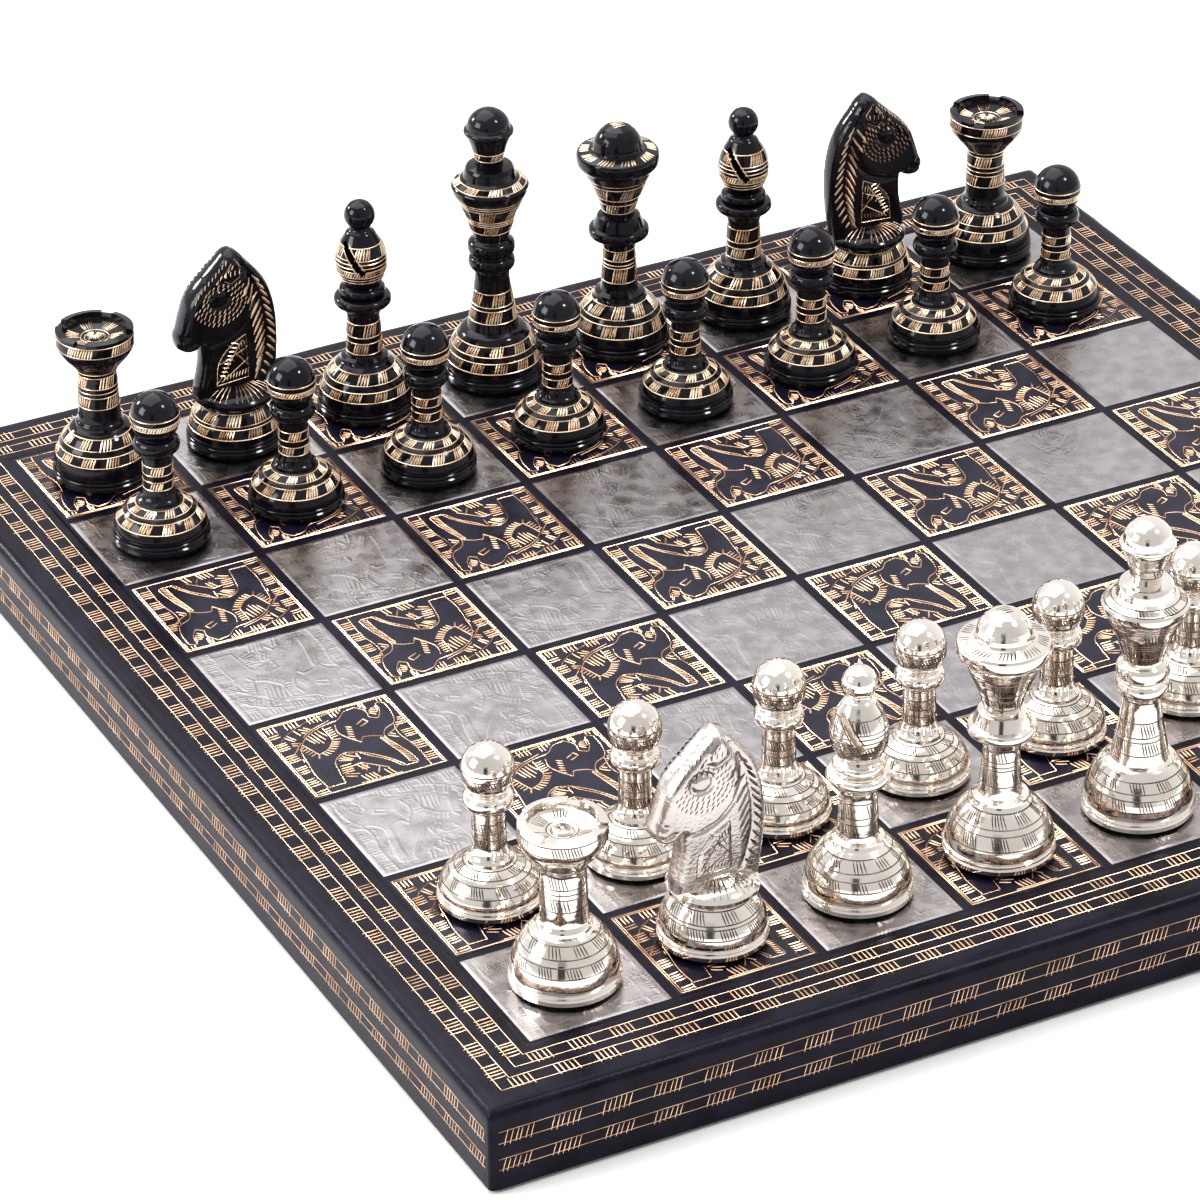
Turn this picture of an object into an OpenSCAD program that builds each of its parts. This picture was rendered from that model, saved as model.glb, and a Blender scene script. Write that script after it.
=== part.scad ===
// Chess set with board: a wooden board clad in a lacquered metal sheet with 64 inlaid plates,
// and two armies of turned metal men that stand on green felt pads.
// X runs along the silver side's edge, Y from the silver side to the black side, Z up.
// The origin is at the middle of the board's underside. All lengths are in millimetres.

/* [Board] */
// Length and width of the board
board_size = 305; // [290:1:340]
// Height of the board from the table to its playing face
board_h = 20; // [15:1:30]
// Pitch of the squares
square = 33.8; // [30:0.1:35]
// Width of the dark line between two squares
line_w = 1.9; // [1:0.1:3]
// Thickness of the metal sheet and of the plates let into it
sheet_t = 0.6; // [0.4:0.1:1]
// Radius of the board's rounded top edge
edge_r = 2.4; // [1.5:0.1:4]
// Thickness of the felt glued under the board
base_felt_t = 1; // [0.5:0.1:2]
// How far the felt stops short of the board's sides
felt_inset = 0.5; // [0:0.1:3]

/* [Men] */
// Height of a pawn
pawn_h = 37.6; // [32:0.1:44]
// Height of a rook
rook_h = 38.5; // [33:0.1:45]
// Height of a knight
knight_h = 50.3; // [44:0.1:56]
// Height of a bishop
bishop_h = 54.5; // [48:0.1:60]
// Height of a queen
queen_h = 58.3; // [52:0.1:64]
// Height of a king
king_h = 70.2; // [62:0.1:78]
// Base radius of a pawn
pawn_r = 11.3; // [10:0.1:12.5]
// Base radius of a rook, a knight and a bishop
minor_r = 11.7; // [10:0.1:12.5]
// Base radius of a queen and a king
royal_r = 12; // [11:0.1:13]
// Thickness of the felt pad under each man
pad_t = 0.6; // [0.4:0.1:1.2]

/* [Details] */
// Thickness of the knight's flat horse
horse_t = 7; // [5:0.5:9]
// Width of the notches in a rook's rim
notch_w = 2.9; // [2:0.1:4.5]
// Depth of the notches in a rook's rim
notch_d = 0.9; // [0.6:0.1:2]
// Width of the cut in a bishop's mitre
slot_w = 1.3; // [0.8:0.1:2]
// How far the cut is turned round the mitre from the silver side
slot_turn = 45; // [0:5:90]
// How far the cut leans from upright
slot_lean = 35; // [20:1:50]

/* [Hidden] */
$fn = 48;
plate = square - line_w;
core_size = board_size - 2 * sheet_t;
core_r = edge_r - sheet_t;
core_top = board_h - sheet_t;
// Height at which a man's base bead starts and where his bell starts above it
bead_z = 2.5;
bell_z = 3.3;
// How far the pad stops short of the base's edge, and the glue line left above a pawn's pad
pad_inset = 1;
glue_t = 0.05;
SIDES = ["silver", "black"];
BACK_RANKS = [
    ["rook", "knight", "bishop", "queen", "king", "bishop", "knight", "rook"],
    ["rook", "knight", "bishop", "king", "queen", "bishop", "knight", "rook"]
];
BACK_ROWS = [1, 8];
PAWN_ROWS = [2, 7];
SILVER = [0.8, 0.8, 0.78];
LACQUER = [0.1, 0.1, 0.13];
FELT = [0.05, 0.33, 0.18];
GILT = [0.72, 0.53, 0.3];

function kind_at(side, col) = BACK_RANKS[side][col - 1];
function wing(side, col) =
    kind_at(side, col) == "king" || kind_at(side, col) == "queen" ? "" : col < 5 ? "_left" : "_right";
function officer(side, col) = str(SIDES[side], "_", kind_at(side, col), wing(side, col));
function officer_pad(side, col) = str(officer(side, col), "_felt");
function pawn_name(side, col) = str(SIDES[side], "_pawn_", col);

// ---- Outlines: half sections of turned men, as [radius, height] from the foot to the top ----

// A rounded bulge that stands out to radius r between two heights
function bead(r, z0, z1, depth, n = 6) = [
    for (i = [0:n])
        let (a = 180 * i / n - 90)
        [r - depth + depth * cos(a), (z0 + z1) / 2 + (z1 - z0) / 2 * sin(a)]
];

// A bell that curves in from radius r to r_top, steep at first
function bell(r, r_top, z0, z1, n = 8) =
    let (e = 1.85, span = (z1 - z0) / pow(1 - pow(r_top / r, e), 1 / e))
    [for (i = [0:n]) let (z = z0 + (z1 - z0) * i / n) [r * pow(1 - pow((z - z0) / span, e), 1 / e), z]];

// A dome from radius r up to a point on the axis
function dome(r, z0, z1, n = 8) = [for (i = [0:n]) [i == n ? 0 : r * cos(90 * i / n), z0 + (z1 - z0) * sin(90 * i / n)]];

// A ball on the axis, from where its underside meets radius r_neck up to its top
function ball(r, zc, r_neck, n = 10) =
    let (a0 = -acos(r_neck / r))
    [for (i = [0:n]) let (a = a0 + (90 - a0) * i / n) [i == n ? 0 : r * cos(a), zc + r * sin(a)]];

// The base that every man shares: flat foot, groove, bead, then a bell up to r_top at z_top
function base(r, r_top, z_top) = concat(
    [[0, pad_t], [r - 0.7, pad_t], [r - 0.1, pad_t + 0.5], [r - 0.1, bead_z - 0.5], [r - 0.6, bead_z]],
    bead(r - 0.1, bead_z, bell_z, 0.5),
    bell(r - 0.4, r_top, bell_z, z_top)
);

// The outline stretched upwards so that the man is exactly h tall
function to_height(outline, h) =
    let (top = max([for (p = outline) p[1]]))
    [for (p = outline) [p[0], pad_t + (p[1] - pad_t) * (h - pad_t) / (top - pad_t)]];

pawn_outline = concat(
    base(pawn_r, 5.4, 10.1),
    [[5.1, 10.3], [5, 11], [4.3, 11.6], [3.9, 12.4], [3.6, 13.6], [3.4, 21.9], [3.9, 22.4]],
    bead(5.4, 22.8, 26.6, 1.5),
    [[3.9, 26.9], [4.5, 27.6], [5.1, 28.7], [5.5, 30.2]],
    dome(5.65, 31.9, 37.6)
);

rook_outline = concat(
    base(minor_r, 6.6, 13.5),
    [[5.8, 13.8], [5.6, 14.7], [5.1, 15.2], [4.95, 16], [4.6, 27.4], [5.1, 28.7], [6.5, 30.4], [8, 32.2]],
    [[8.8, 33.6], [9.05, 34.4], [9.05, 38.2], [8.8, 38.5], [7.4, 38.5], [7, 36.7], [2.4, 35.9], [2, 36.4]],
    [[0, 36.7]]
);

bishop_outline = concat(
    base(minor_r, 6.1, 13.2),
    [[5.7, 13.5], [5.5, 14.2], [4.5, 14.7], [4.3, 15.4], [3.9, 24.9], [4.3, 26.2], [5.6, 27.5]],
    bead(6.85, 27.9, 30.3, 0.9),
    bead(5.5, 30.5, 32.7, 0.8),
    [[4.3, 33], [5, 34.6], [5.8, 36.8], [6.15, 39.2], [5.9, 41], [4.7, 44.3], [3.3, 46.7], [2.5, 47.3]],
    ball(3.7, 50.8, 2.3)
);

queen_outline = concat(
    base(royal_r, 6.4, 13.2),
    [[6.1, 13.6], [5.9, 14.4], [4.7, 15], [4.45, 15.9], [3.8, 26], [4.2, 27.6], [6.3, 29]],
    bead(7.3, 29.3, 31.6, 0.6),
    [[6.1, 31.9], [5.5, 33.6], [5.1, 34.5], [3.9, 34.9], [3.95, 35.8], [4.7, 38.4], [5.9, 41.6], [7.3, 44.6]],
    [[8.9, 47.4], [9.7, 48.3], [9.9, 49], [9.9, 50.8], [9.6, 51.2], [6.3, 51.9]],
    dome(6, 52.3, 58.3)
);

king_outline = concat(
    base(royal_r, 7.6, 13.2),
    [[6.3, 13.7], [6.1, 14.4], [5.6, 16.8], [4.7, 21.7], [4.15, 26.6], [4.2, 28.3], [4.6, 28.8]],
    bead(5.6, 29.1, 32.3, 0.9),
    bead(5.7, 32.7, 36.5, 1.1),
    [[4.2, 36.9], [4.8, 39.2], [6.3, 44.1], [8.95, 49.4], [9.2, 50.7], [8.9, 51.2], [6.9, 52.6], [6.3, 53]],
    [[5.8, 55.1], [5.4, 55.6], [3.3, 55.9], [3.3, 57.2], [3.6, 58.6], [4.4, 61.2], [5.3, 63.6]],
    bead(5.95, 63.9, 65.3, 0.6),
    dome(5.2, 65.4, 70.2)
);

// ---- The board ----

// A square block from z0 to z1 whose four top edges are rounded to radius r
module rounded_slab(size, z0, z1, r) {
    section = concat(
        [[-size / 2, z0], [size / 2, z0]],
        [for (a = [0:15:90]) [size / 2 - r + r * cos(a), z1 - r + r * sin(a)]],
        [for (a = [90:15:180]) [r - size / 2 + r * cos(a), z1 - r + r * sin(a)]]
    );
    intersection() {
        rotate([90, 0, 0]) linear_extrude(height = size, center = true) polygon(section);
        rotate([90, 0, 90]) linear_extrude(height = size, center = true) polygon(section);
    }
}

// Puts its children on the middle of a square: columns and rows count from the silver side's left
module on_square(col, row, z = board_h) {
    translate([(col - 4.5) * square, (row - 4.5) * square, z]) children();
}

// Everything on the squares of one colour: odd = 0 for the light ones, 1 for the dark ones
module each_square(odd, z) {
    for (col = [1:8], row = [1:8])
        if ((col + row) % 2 == odd) on_square(col, row, z) children();
}

module base_felt() {
    size = board_size - 2 * felt_inset;
    color(FELT) translate([-size / 2, -size / 2, 0]) cube([size, size, base_felt_t]);
}

module wood_core() {
    color("burlywood") rounded_slab(core_size, base_felt_t, core_top, core_r);
}

module cover_sheet() {
    color(LACQUER) difference() {
        rounded_slab(board_size, base_felt_t, board_h, edge_r);
        rounded_slab(core_size, base_felt_t, core_top, core_r);
        translate([0, 0, core_top]) linear_extrude(height = 2 * sheet_t)
            for (col = [1:8], row = [1:8])
                translate([(col - 4.5) * square, (row - 4.5) * square]) square(plate, center = true);
    }
}

module inlaid_plate() {
    linear_extrude(height = sheet_t) square(plate, center = true);
}

module light_squares() {
    color(SILVER) each_square(0, core_top) inlaid_plate();
}

module dark_squares() {
    color(GILT) each_square(1, core_top) inlaid_plate();
}

// ---- The men ----

module turned(outline, h) {
    rotate_extrude() polygon(to_height(outline, h));
}

module pad(r, t = pad_t) {
    color(FELT) cylinder(r = r - pad_inset, h = t);
}

module pawn() {
    turned(pawn_outline, pawn_h);
}

module rook() {
    difference() {
        turned(rook_outline, rook_h);
        for (turn = [45, 135])
            rotate([0, 0, turn]) translate([0, 0, rook_h]) cube([3 * minor_r, notch_w, 2 * notch_d], center = true);
    }
}

module bishop() {
    difference() {
        turned(bishop_outline, bishop_h);
        rotate([0, 0, -slot_turn]) translate([0, -5.4, 0.76 * bishop_h])
            rotate([0, -slot_lean, 0]) cube([slot_w, 5, 9], center = true);
    }
}

module queen() {
    turned(queen_outline, queen_h);
}

module king() {
    turned(king_outline, king_h);
}

// Side view of the horse, muzzle towards -X: ears, brow, nose, jaw, chest, then the back of the mane
horse_outline = [
    [0.4, 50.3], [-0.8, 49.9], [-3, 47.9], [-5.6, 45.4], [-8.6, 42.6], [-11, 39.4], [-12.3, 36], [-13.4, 32.4],
    [-14.2, 30.2], [-14, 28.2], [-12.6, 27.2], [-10, 27.1], [-8.3, 28.2], [-8.2, 24], [-8.8, 20], [-9.6, 16.4],
    [-9.4, 13.2], [9.4, 13.2], [9.9, 16.4], [10.6, 21], [10.9, 27], [10.7, 33], [9.9, 37.2], [8.7, 40.6],
    [6.9, 43.6], [4.6, 46.4], [1.4, 49.9]
];

// The horse's outline drawn in towards the middle of the neck by a share of its width
function drawn_in(share) = [
    for (p = horse_outline)
        [p[0] * (1 - share), 33 + (p[1] - 33) * (1 - share)]
];

module horse_slab(outline, thick) {
    rotate([90, 0, 0]) linear_extrude(height = thick, center = true)
        polygon([for (p = outline) [p[0], p[1] * knight_h / 50.3]]);
}

module knight() {
    neck_z = 11.6;
    turned(concat(
        base(minor_r, 7.7, 11.2),
        [[7.6, neck_z], [9.3, neck_z + 0.7], [9.7, neck_z + 1.2], [9.7, neck_z + 2], [9.2, neck_z + 2.6]],
        [[6.6, neck_z + 5], [0, neck_z + 5]]
    ), neck_z + 5);
    intersection() {
        union() {
            horse_slab(horse_outline, horse_t - 3);
            horse_slab(drawn_in(0.06), horse_t);
        }
        translate([0, 0, neck_z]) cylinder(r = 15, h = knight_h);
    }
}

// One man, standing at the origin; turn faces a knight, a bishop's cut or a rook's notches
module man(kind, turn) {
    rotate([0, 0, turn]) {
        if (kind == "rook") rook();
        if (kind == "knight") knight();
        if (kind == "bishop") bishop();
        if (kind == "queen") queen();
        if (kind == "king") king();
    }
}

// Knights on the right wing look to the right, those on the left wing to the left
function facing(kind, col) = kind == "knight" && col > 4 ? 180 : 0;
function base_radius(kind) = kind == "king" || kind == "queen" ? royal_r : minor_r;

module officer_body(side, col) {
    kind = kind_at(side, col);
    color(side == 0 ? SILVER : LACQUER) on_square(col, BACK_ROWS[side]) man(kind, facing(kind, col));
}

module officer_felt(side, col) {
    on_square(col, BACK_ROWS[side]) pad(base_radius(kind_at(side, col)));
}

// A pawn and the pad glued under it
module pawn_and_pad(side, col) {
    on_square(col, PAWN_ROWS[side]) {
        color(side == 0 ? SILVER : LACQUER) pawn();
        pad(pawn_r, pad_t - glue_t);
    }
}

base_felt();
wood_core();
cover_sheet();
light_squares();
dark_squares();
for (side = [0, 1], col = [1:8]) {
    officer_body(side, col);
    officer_felt(side, col);
    pawn_and_pad(side, col);
}
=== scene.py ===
"""Looks of a metal-clad chess board with two armies of turned and engraved metal men."""

from math import cos, pi, radians, sin

import bpy
import numpy as np
from mathutils import Matrix, Vector, noise


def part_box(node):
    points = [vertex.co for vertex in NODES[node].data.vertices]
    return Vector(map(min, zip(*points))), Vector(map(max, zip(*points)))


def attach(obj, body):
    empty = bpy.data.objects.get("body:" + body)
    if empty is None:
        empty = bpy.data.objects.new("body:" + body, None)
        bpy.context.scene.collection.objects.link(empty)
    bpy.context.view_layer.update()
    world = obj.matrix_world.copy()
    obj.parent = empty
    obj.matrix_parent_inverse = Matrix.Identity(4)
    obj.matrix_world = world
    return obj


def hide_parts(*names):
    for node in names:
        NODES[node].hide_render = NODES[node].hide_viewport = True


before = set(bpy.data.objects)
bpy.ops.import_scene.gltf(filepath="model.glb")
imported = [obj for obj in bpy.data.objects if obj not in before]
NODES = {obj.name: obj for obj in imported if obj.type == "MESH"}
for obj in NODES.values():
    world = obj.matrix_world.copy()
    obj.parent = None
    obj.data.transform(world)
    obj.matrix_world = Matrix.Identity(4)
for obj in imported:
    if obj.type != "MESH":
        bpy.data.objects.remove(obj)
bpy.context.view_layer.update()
MM = 0.001
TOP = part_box("cover_sheet")[1][2]


def node_centre(node):
    """Middle of a CAD node's plan, in metres."""
    low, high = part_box(node)
    return np.array([(low[0] + high[0]) / 2, (low[1] + high[1]) / 2])


FIRST_PAWN, LAST_PAWN = node_centre("silver_pawn_1"), node_centre("silver_pawn_8")
SQUARE = (LAST_PAWN[0] - FIRST_PAWN[0]) / 7 / MM
PLATE = (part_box("light_squares")[1][0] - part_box("light_squares")[0][0]) / MM - 7 * SQUARE
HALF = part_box("cover_sheet")[1][0] / MM
SHEET_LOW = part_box("cover_sheet")[0][2] / MM
PAD_T = (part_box("silver_king_felt")[1][2] - TOP) / MM


# ---- Camera ----


def place_camera():
    """The photograph's viewpoint: a long lens, a little above the board and to its left."""
    az, el, roll, distance = radians(-26.82), radians(30.65), radians(-0.84), 1.335
    target = Vector((-0.0433, 0.0120, TOP))
    back = Vector((sin(az) * cos(el), -cos(az) * cos(el), sin(el)))
    right = Vector((cos(az), sin(az), 0))
    up = back.cross(right)
    x_axis = cos(roll) * right + sin(roll) * up
    y_axis = cos(roll) * up - sin(roll) * right
    camera = bpy.data.objects.new("camera", bpy.data.cameras.new("camera"))
    bpy.context.collection.objects.link(camera)
    pose = Matrix((x_axis, y_axis, back)).transposed().to_4x4()
    pose.translation = target + distance * back
    camera.matrix_world = pose
    camera.data.lens = 179.25
    camera.data.sensor_width = 36
    camera.data.clip_end = 20
    bpy.context.scene.camera = camera


# ---- Materials ----


def material(name, dark, light, metallic, rough, grain, bump, fleck=0.5, shine=0.5, sheen=0.0):
    """A surface whose colour and roughness drift with a noise, and whose face has a fine grain.

    rough is (lowest, highest) roughness, grain the size of the grain in millimetres and bump its depth."""
    made = bpy.data.materials.new(name)
    made.use_nodes = True
    nodes, links = made.node_tree.nodes, made.node_tree.links
    shader = nodes["Principled BSDF"]
    shader.inputs["Metallic"].default_value = metallic
    shader.inputs["Specular IOR Level"].default_value = shine
    shader.inputs["Sheen Weight"].default_value = sheen
    shader.inputs["Sheen Roughness"].default_value = 0.5
    place = nodes.new("ShaderNodeTexCoord")
    drift = nodes.new("ShaderNodeTexNoise")
    drift.inputs["Scale"].default_value = 1 / (grain * 14 * MM)
    drift.inputs["Detail"].default_value = 5
    drift.inputs["Roughness"].default_value = fleck
    links.new(place.outputs["Object"], drift.inputs["Vector"])
    tint = nodes.new("ShaderNodeValToRGB")
    tint.color_ramp.elements[0].position = 0.36
    tint.color_ramp.elements[0].color = (*dark, 1)
    tint.color_ramp.elements[1].position = 0.64
    tint.color_ramp.elements[1].color = (*light, 1)
    links.new(drift.outputs["Fac"], tint.inputs["Fac"])
    links.new(tint.outputs["Color"], shader.inputs["Base Color"])
    spread = nodes.new("ShaderNodeMapRange")
    spread.inputs["From Min"].default_value = 0.3
    spread.inputs["From Max"].default_value = 0.7
    spread.inputs["To Min"].default_value = rough[0]
    spread.inputs["To Max"].default_value = rough[1]
    links.new(drift.outputs["Fac"], spread.inputs["Value"])
    links.new(spread.outputs["Result"], shader.inputs["Roughness"])
    fine = nodes.new("ShaderNodeTexNoise")
    fine.inputs["Scale"].default_value = 1 / (grain * MM)
    fine.inputs["Detail"].default_value = 3
    links.new(place.outputs["Object"], fine.inputs["Vector"])
    lift = nodes.new("ShaderNodeBump")
    lift.inputs["Strength"].default_value = bump
    lift.inputs["Distance"].default_value = grain * MM
    links.new(fine.outputs["Fac"], lift.inputs["Height"])
    links.new(lift.outputs["Normal"], shader.inputs["Normal"])
    return made


LACQUER = material(
    "lacquer", (0.004, 0.004, 0.007), (0.009, 0.008, 0.013), 0, (0.08, 0.16), 0.9, 0.02, shine=0.34,
)
SHEET = material(
    "sheet_lacquer", (0.004, 0.0035, 0.009), (0.011, 0.0095, 0.021), 0, (0.24, 0.36), 0.6, 0.1,
    shine=0.15,
)
PLATE_BLACK = material(
    "plate_lacquer", (0.005, 0.005, 0.014), (0.012, 0.011, 0.028), 0, (0.2, 0.34), 0.5, 0.1,
    shine=0.3,
)
GOLD = material("engraved_brass", (0.8, 0.54, 0.35), (1.0, 0.82, 0.62), 1, (0.2, 0.36), 0.25, 0.14)
COPPER = material("board_brass", (0.66, 0.4, 0.24), (0.95, 0.66, 0.45), 1, (0.24, 0.38), 0.25, 0.12)
NICKEL = material("polished_nickel", (0.8, 0.74, 0.675), (0.89, 0.84, 0.78), 1, (0.07, 0.14), 1.0, 0.03)
CAST_NICKEL = material("cast_nickel", (0.46, 0.42, 0.395), (0.64, 0.59, 0.56), 1, (0.16, 0.28), 0.7, 0.18)
# The dark colour of the strokes cut into the silver men is painted shade, standing in for the shadow in the
# engraved grooves.
SHADED_CUT_NICKEL = material("cut_nickel_painted_shade", (0.09, 0.075, 0.06), (0.28, 0.235, 0.2), 1, (0.25, 0.4), 0.25, 0.1)
SATIN = material("satin_nickel", (0.36, 0.34, 0.345), (0.43, 0.405, 0.41), 1, (0.2, 0.34), 0.3, 0.03)
# The felt's own green, darkened a long way further: painted shade, so that it reads as the shadow line under
# the men and the board.
FELT_AND_PAINTED_SHADE = material(
    "felt", (0.003, 0.028, 0.014), (0.008, 0.075, 0.036), 0, (0.9, 1), 0.22, 0.8, fleck=0.8,
    sheen=0.15,
)
WOOD = material("core_wood", (0.36, 0.24, 0.13), (0.55, 0.4, 0.25), 0, (0.5, 0.7), 1.5, 0.3, fleck=0.7)


# ---- Mesh building: a part is (vertices in millimetres, one array of faces) ----


def mesh_from(name, parts, surface, sharp=38):
    """A mesh in metres made of several parts, smooth except across edges over `sharp` degrees."""
    loops, starts, base, at = [], [], 0, 0
    for verts, faces in parts:
        faces = np.asarray(faces)
        loops.append((faces + base).ravel())
        starts.append(at + np.arange(len(faces)) * faces.shape[1])
        at += faces.size
        base += len(verts)
    verts = np.concatenate([np.asarray(v) for v, _ in parts]) * MM
    loops, starts = np.concatenate(loops), np.concatenate(starts)
    made = bpy.data.meshes.new(name)
    made.vertices.add(len(verts))
    made.vertices.foreach_set("co", verts.astype(np.float32).ravel())
    made.loops.add(len(loops))
    made.loops.foreach_set("vertex_index", loops.astype(np.int32))
    made.polygons.add(len(starts))
    made.polygons.foreach_set("loop_start", starts.astype(np.int32))
    made.update(calc_edges=True)
    made.validate()
    made.shade_smooth()
    made.set_sharp_from_angle(angle=radians(sharp))
    made.materials.append(surface)
    return made


def piece(name, mesh, body, cad=()):
    """An object that rides on a body, standing for the CAD nodes given, which it hides."""
    made = bpy.data.objects.new(name, mesh)
    bpy.context.collection.objects.link(made)
    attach(made, body)
    if cad:
        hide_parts(*cad)
    return made


def moved(parts, x, y, z, turn=0.0):
    """The parts turned about Z and then moved, in millimetres."""
    c, s = cos(turn), sin(turn)
    spin = np.array([[c, s, 0], [-s, c, 0], [0, 0, 1]])
    return [(np.asarray(v) @ spin + np.array([x, y, z]), f) for v, f in parts]


def sheet_faces(rows, cols, closed=False):
    """Faces of a grid of points laid out row by row; closed joins each row's end to its start."""
    i, j = np.meshgrid(np.arange(rows - 1), np.arange(cols if closed else cols - 1), indexing="ij")
    i, j = i.ravel(), j.ravel()
    k = (j + 1) % cols
    return np.stack([i * cols + j, i * cols + k, (i + 1) * cols + k, (i + 1) * cols + j], axis=1)


def ridges(points, normals, width, height):
    """Thin engraved strokes as low ridges that narrow at both ends: points is (strokes, steps, 3)."""
    points = np.asarray(points, float)
    normals = np.broadcast_to(np.asarray(normals, float), points.shape)
    along = np.gradient(points, axis=1)
    side = np.cross(normals, along)
    side /= np.maximum(np.linalg.norm(side, axis=2, keepdims=True), 1e-9)
    steps = points.shape[1]
    taper = np.ones(steps)
    taper[[0, -1]] = 0.45
    half = side * (width / 2) * taper[None, :, None]
    foot = points - normals * 0.03
    cross = np.stack([foot - half, points + normals * height, foot + half], axis=2)
    verts = cross.reshape(-1, 3)
    s, k = np.meshgrid(np.arange(points.shape[0]), np.arange(steps - 1), indexing="ij")
    at = ((s * steps + k) * 3).ravel()
    first = np.stack([at, at + 3, at + 4, at + 1], axis=1)
    second = np.stack([at + 1, at + 4, at + 5, at + 2], axis=1)
    return verts, np.concatenate([first, second])


def smooth_path(points, step, closed=False, corner=40.0):
    """Points along a curve through the given ones, keeping each corner sharper than `corner` degrees."""
    pts = np.asarray(points, float)
    n = len(pts)
    nxt = np.roll(pts, -1, axis=0) - pts
    length = np.maximum(np.linalg.norm(nxt, axis=1), 1e-9)
    unit = nxt / length[:, None]
    out = []
    for i in range(n if closed else n - 1):
        j = (i + 1) % n
        ends = []
        for at, default in ((i, unit[i]), (j, unit[i])):
            before, after = unit[at - 1], unit[at]
            inner = closed or 0 < at < n - 1
            bend = np.degrees(np.arccos(np.clip(before @ after, -1, 1))) if inner else 180
            if inner and bend < corner:
                mean = before * length[at] + after * length[at - 1]
                ends.append(mean / max(np.linalg.norm(mean), 1e-9))
            else:
                ends.append(default)
        count = max(1, int(round(length[i] / step)))
        t = (np.arange(count) / count)[:, None]
        h = [2 * t**3 - 3 * t**2 + 1, t**3 - 2 * t**2 + t, 3 * t**2 - 2 * t**3, t**3 - t**2]
        out.append(h[0] * pts[i] + h[1] * ends[0] * length[i] + h[2] * pts[j] + h[3] * ends[1] * length[i])
    if not closed:
        out.append(pts[-1:])
    return np.concatenate(out)


def wobble(x, y=0.0, z=0.0):
    """Smooth noise between about -1 and 1."""
    return noise.noise(Vector((x, y, z)))


# ---- Turned men ----


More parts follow.
